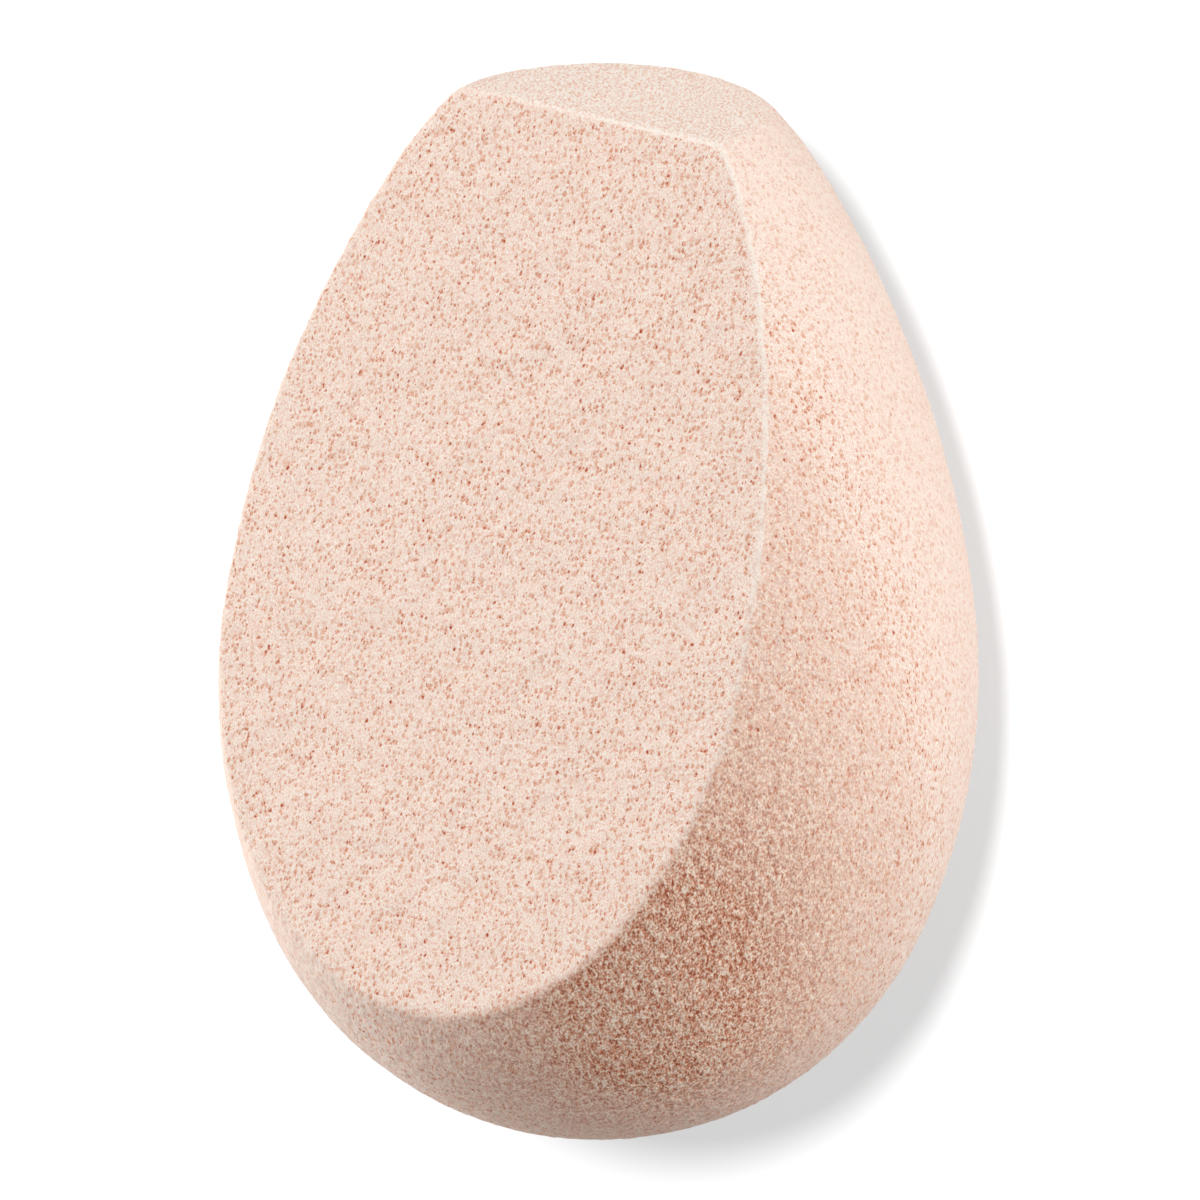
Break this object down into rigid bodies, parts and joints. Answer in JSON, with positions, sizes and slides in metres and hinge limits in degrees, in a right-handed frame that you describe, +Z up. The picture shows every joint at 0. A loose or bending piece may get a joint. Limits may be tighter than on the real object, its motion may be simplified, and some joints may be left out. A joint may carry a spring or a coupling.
{
  "type": "makeup sponge",
  "caption": "Egg-shaped makeup sponge of soft foam, with a slanting flat face for broad blending and a flat-cut tip for small places.",
  "frame": {"origin": "on the table, under the middle of the sponge's outer box", "axes": "+X along the egg's axis from its round end to its cut tip, +Z up from the table, with the working face up; the sponge is alike on both sides of the plane Y = 0"},
  "size_m": [0.059, 0.042, 0.0393],
  "materials": {
    "foam": "matte, dry, pale peach open-cell foam"
  },
  "bodies": {
    "root": {"sponge_body": "foam"}
  },
  "joints": []
}
